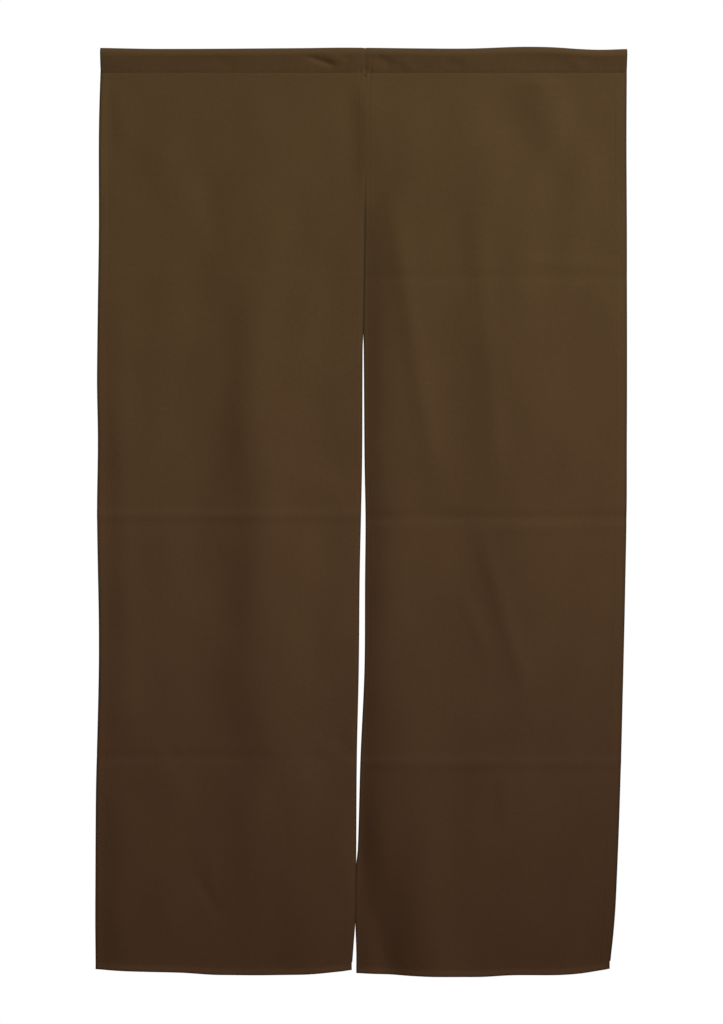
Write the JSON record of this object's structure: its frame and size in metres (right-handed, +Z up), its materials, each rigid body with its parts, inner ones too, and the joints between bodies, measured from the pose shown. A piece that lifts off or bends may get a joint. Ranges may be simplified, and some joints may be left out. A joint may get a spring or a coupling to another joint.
{
  "type": "noren curtain",
  "caption": "Hanging cloth curtain with an empty rod channel along its top, sewn at the centre and slit below into panels that part in the middle.",
  "frame": {"origin": "middle of the rod channel, half way along the top edge and on the centre of the channel's round top", "axes": "+Z up, +X along the rod channel to the right as seen from the front, the front of the cloth faces -Y"},
  "size_m": [0.8636, 0.0318, 1.5059],
  "materials": {
    "brown_cloth": "matt plain weave, dark olive brown"
  },
  "bodies": {
    "root": {"heading": "brown_cloth", "panel_left": "brown_cloth", "panel_right": "brown_cloth"}
  },
  "joints": []
}
